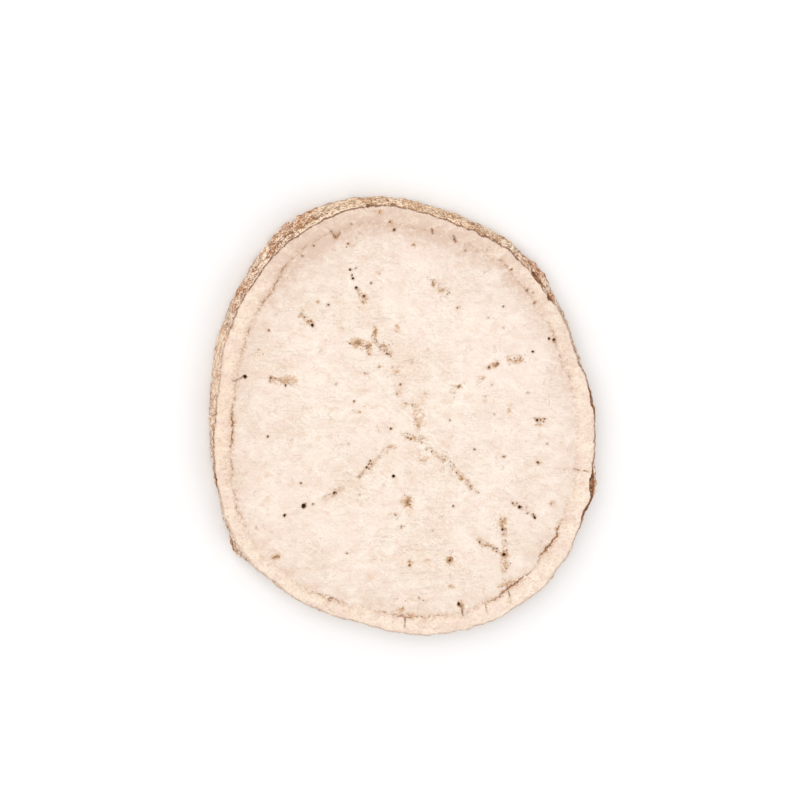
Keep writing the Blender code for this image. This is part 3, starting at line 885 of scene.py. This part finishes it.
def stained(p, n, face):
    """The cut face with thin brown wisps and brown stains."""
    wisp = p.near(p.noise((1.9, 1.5, 1.5), 2, 0.7, 1.2), 0.5, 0.004, 0.022)
    wisp = p.times(wisp, p.step(p.noise((1.6, 1.6, 1.6), 1), 0.54, 0.66))
    face = p.veil(face, (172, 136, 108), wisp, 0.35)
    stain = p.layer("stain")
    uneven = p.times(p.math("MULTIPLY_ADD", n.broken, 1.8, -0.9), p.step(stain, 0.02, 0.30))
    stain = p.math("ADD", stain, uneven)
    return p.veils(
        face,
        (stain, 0.04, 0.50, 0.70, (204, 164, 126)),
        (stain, 0.45, 0.90, 0.80, (136, 98, 62)),
    )


def dotted(p, n, face):
    """The cut face with tan rows of vessels and tiny dots, and where the rows' dots are."""
    rows = p.layer("rows")
    face = p.veil(face, (186, 146, 108), rows, p.step(n.broken, 0.43, 0.60), 0.50)
    row_dots = p.dots(0.40, 0.05, 0.14, p.times(rows, 0.65))
    stain_dots = p.dots(0.31, 0.04, 0.12, p.times(p.layer("stain"), 0.50))
    stray_dots = p.dots(0.75, 0.04, 0.11, p.step(n.large, 0.35, 0.7, 0.05, 0.22))
    face = p.veil(face, (104, 72, 44), row_dots, 0.80)
    face = p.veil(face, (104, 72, 42), stain_dots, 0.80)
    return p.veil(face, (150, 112, 82), stray_dots, 0.50), row_dots


def cracked(p, n, face, from_crack):
    """The cut face with the cambium crack, which comes and goes, and the short splits of the bark."""
    tone = p.layer("crack_tone")
    beside = p.line(from_crack, 0.50, p.times(n.jitter, 2.0))
    beside = p.times(beside, p.step(n.broken, 0.40, 0.60), p.step(tone, 0.0, 1.0, 0.20, 0.85))
    face = p.veil(face, (196, 154, 118), beside)
    shown = p.step(p.math("ADD", n.gaps, p.times(tone, 0.22)), 0.55, 0.66)
    crack = p.line(from_crack, 0.16, p.times(n.jitter, 1.6))
    face = p.veil(face, (136, 90, 56), crack, shown, p.step(tone, 0.0, 1.0, 0.15, 0.95))
    split = p.step(ragged(p, n, "from_split", 1.0), -0.10, 0.02, 1, 0)
    return p.veil(face, (136, 94, 62), split, p.step(n.gaps, 0.36, 0.52, 0.15, 0.80))


def pitted(p, n, face):
    """The cut face with small vessels and pores, each in a tan halo, and where the pores' mouths are."""
    from_spot = ragged(p, n, "from_spot", 0.8)
    spot_tone = p.layer("spot_tone")
    halo = p.times(p.step(from_spot, 0.0, 0.32, 1, 0), spot_tone)
    face = p.veil(face, (188, 148, 112), halo, p.step(n.broken, 0.38, 0.58), 0.7)
    face = p.veil(face, (106, 73, 46), p.step(from_spot, -0.04, 0.04, 1, 0), spot_tone)
    from_pore = ragged(p, n, "from_pore", 0.6)
    pore_tone = p.layer("pore_tone")
    halo = p.step(from_pore, 0.0, 0.28, 1, 0)
    face = p.veil(face, (186, 146, 108), halo, p.step(n.broken, 0.38, 0.58, 0.0, 0.60))
    mouth = p.times(p.step(from_pore, -0.04, 0.03, 1, 0), p.step(pore_tone, 0.3, 0.9, 0.50, 1.0))
    inside = p.mix(p.step(pore_tone, 0.45, 0.9), colour(118, 84, 54), colour(72, 46, 28))
    return p.mix(mouth, face, inside), mouth


def cork_paint(p, n):
    """The cork of the wall: tan lumps, rusty and pale patches, dark crumbs, ridges, seams and specks."""
    lumps = p.noise((0.85, 0.85, 1.1), 3, 0.65, 0.4)
    seams = p.noise((1.7, 1.7, 0.60), 2, 0.6, 0.5)
    rust = p.noise((1.8, 1.8, 1.8), 2, 0.6)
    grit = p.noise((0.16, 0.16, 0.24), 1, 0.5)
    soft = p.step(p.layer("pale_wall"), 0, 1, 1.0, 0.50)
    cork = p.mix(p.times(p.step(lumps, 0.42, 0.60), 0.80), colour(243, 217, 193), colour(206, 168, 137))
    cork = p.veil(cork, (255, 222, 182), p.layer("tan_wall"), 0.70)
    cork = p.veils(
        cork,
        (rust, 0.50, 0.60, 0.80, (202, 134, 84)),
        (rust, 0.46, 0.37, 0.50, (252, 223, 203)),
    )
    cork = p.veil(cork, (190, 122, 68), p.layer("rusty"), p.step(lumps, 0.36, 0.56, 0.25, 1.0), 0.85)
    cork = p.veils(
        cork,
        (n.layers, 0.52, 0.64, 0.75, (251, 229, 206)),
        (n.crumbs, 0.52, 0.66, p.times(soft, 0.70), (136, 88, 56)),
        (n.crumbs, 0.46, 0.32, 0.65, (255, 240, 220)),
        (grit, 0.52, 0.68, p.times(soft, 0.50), (130, 74, 42)),
        (grit, 0.48, 0.34, p.times(soft, 0.45), (255, 240, 214)),
    )
    cork = p.veil(cork, (255, 222, 180), p.layer("tan_wall"), 0.28)
    cork = p.veil(cork, (226, 198, 173), p.layer("pale_wall"), 0.50)
    cork = p.veil(cork, (104, 62, 38), p.near(n.layers, 0.47, 0.006, 0.026), soft, 0.85)
    cork = p.veil(cork, (116, 70, 42), p.near(seams, 0.50, 0.005, 0.022), soft, 0.75)
    cork = p.veil(cork, (124, 86, 58), p.layer("fringe"), p.step(n.broken, 0.40, 0.60), 0.60)
    specks = p.dots(0.30, 0.05, 0.12, p.math("MULTIPLY_ADD", p.layer("fringe"), 0.35, 0.24))
    return p.veil(cork, (84, 50, 30), specks, soft, 0.80)


def rimmed(p, n, face, cork):
    """The cut face with the cork that borders it, brown patches and the dark line between."""
    inward = ragged(p, n, "inward", 0.8)
    cork_tone = p.layer("cork_tone")
    seen = p.step(cork_tone, 0.82, 0.88)
    rim = p.times(p.step(inward, 0.16, 0.28, 1, 0), seen)
    pale = p.times(p.step(cork_tone, 0.95, 1.0), p.step(inward, 0.02, 0.10), p.step(n.gaps, 0.4, 0.5))
    rim_cork = p.mix(pale, cork, colour(240, 218, 194))
    patch = p.step(ragged(p, n, "patch", 2.0), 0.35, 0.6)
    brown = p.mix(p.step(n.crumbs, 0.40, 0.60), colour(164, 118, 88), colour(88, 57, 40))
    face = p.mix(p.math("MAXIMUM", rim, patch), face, p.mix(patch, rim_cork, brown))
    line_place = p.math("MULTIPLY_ADD", seen, 0.20, 0.06)
    line = p.near(inward, line_place, 0.04, p.math("MULTIPLY_ADD", seen, -0.06, 0.21))
    line = p.times(line, cork_tone, p.step(n.gaps, 0.34, 0.52, 0.35, 1.0))
    face = p.veil(face, (122, 76, 46), line, p.step(p.layer("pale_wall"), 0, 1, 0.90, 0.50))
    outer_line = p.line(p.math("ADD", inward, 0.36), 0.12, n.jitter)
    return p.veil(face, (112, 78, 54), outer_line, seen, 0.75)


def add_bumps(p, n, wall, dull):
    """Fine bumps of fibres, stronger on the cork, and sunk where the pores and dots are."""
    height = p.math("ADD", p.times(n.fine, 0.9), p.times(n.streaks, 0.6))
    height = p.math("ADD", height, p.times(n.grain, 0.5))
    height = p.math("ADD", height, p.times(p.math("ADD", n.layers, n.crumbs), wall, 1.5))
    height = p.math("SUBTRACT", height, p.times(dull, 0.8))
    bump = p.nodes.new("ShaderNodeBump")
    bump.inputs["Strength"].default_value = BUMP_STRENGTH
    bump.inputs["Distance"].default_value = BUMP_HEIGHT * MM
    p.put(height, bump.inputs["Height"])
    p.put(bump.outputs[0], p.shader.inputs["Normal"])


def root_material():
    """Starchy wood and bark on the cut faces, brown marks where they are, and cork on the wall."""
    p = Paint("dried_root_fine")
    n = noises(p)
    from_crack = p.math("ADD", p.layer("from_crack"), p.math("MULTIPLY_ADD", n.medium, 0.4, -0.2))
    face = stained(p, n, plain_face(p, n, from_crack))
    face, row_dots = dotted(p, n, face)
    face, mouth = pitted(p, n, cracked(p, n, face, from_crack))
    cork = cork_paint(p, n)
    face = rimmed(p, n, face, cork)
    wall = p.step(ragged(p, n, "wall", 1.2), 0.25, 0.6)
    p.put(p.mix(wall, face, cork), p.shader.inputs["Base Color"])
    dull = p.math("MAXIMUM", mouth, row_dots)
    p.put(p.step(dull, 0, 1, *ROUGHNESS), p.shader.inputs["Roughness"])
    p.shader.inputs["Specular IOR Level"].default_value = SHEEN
    add_bumps(p, n, wall, dull)
    return p.material


def pale_floor():
    """A plain pale floor, much wider than the slice."""
    mesh = bpy.data.meshes.new("floor")
    corners = [(x * FLOOR_REACH, y * FLOOR_REACH, 0) for x, y in ((-1, -1), (1, -1), (1, 1), (-1, 1))]
    mesh.from_pydata(corners, [], [(0, 1, 2, 3)])
    floor = bpy.data.objects.new("floor", mesh)
    bpy.context.scene.collection.objects.link(floor)
    p = Paint("pale_floor")
    mottle = p.noise((40, 40, 40), 2)
    p.put(p.mix(mottle, (0.90, 0.90, 0.90, 1), (0.92, 0.92, 0.92, 1)), p.shader.inputs["Base Color"])
    p.shader.inputs["Roughness"].default_value = 0.9
    p.shader.inputs["Specular IOR Level"].default_value = 0.1
    mesh.materials.append(p.material)


def soft_light(name, place, size, power):
    """A square area light that faces the slice."""
    light = bpy.data.lights.new(name, "AREA")
    light.shape = "SQUARE"
    light.size = size
    light.energy = power
    lamp = bpy.data.objects.new(name, light)
    lamp.location = place
    lamp.rotation_euler = (-Vector(place)).to_track_quat("-Z", "Y").to_euler()
    bpy.context.scene.collection.objects.link(lamp)


def studio():
    """Soft light from all round, with a large light over the slice's upper left."""
    world = bpy.data.worlds.new("pale_world")
    bpy.context.scene.world = world
    world.use_nodes = True
    background = world.node_tree.nodes["Background"]
    background.inputs["Color"].default_value = (1.0, 1.0, 1.0, 1.0)
    background.inputs["Strength"].default_value = WORLD_STRENGTH
    soft_light("key_light", *KEY_LIGHT)
    soft_light("fill_light", *FILL_LIGHT)
    bpy.context.scene.view_settings.view_transform = "Standard"


def camera():
    """The camera at the photo's viewing angle."""
    tilt, turn = math.radians(CAMERA_TILT), math.radians(CAMERA_TURN)
    back = Vector((math.sin(tilt) * math.cos(turn), math.sin(tilt) * math.sin(turn), math.cos(tilt)))
    right = Vector((0, 1, 0)).cross(back).normalized()
    up = back.cross(right)
    data = bpy.data.cameras.new("camera")
    data.sensor_width = SENSOR_WIDTH
    data.lens = SENSOR_WIDTH * CAMERA_DISTANCE / SEEN_WIDTH
    data.clip_start = 0.01
    eye = bpy.data.objects.new("camera", data)
    turned = Matrix((right, up, back)).transposed().to_4x4()
    eye.matrix_world = Matrix.Translation(Vector(AIM) + back * CAMERA_DISTANCE) @ turned
    bpy.context.scene.collection.objects.link(eye)
    bpy.context.scene.camera = eye


surface = fine_slice()
surface.data.materials.append(root_material())
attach(surface, "root")
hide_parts("root_slice")
pale_floor()
studio()
camera()
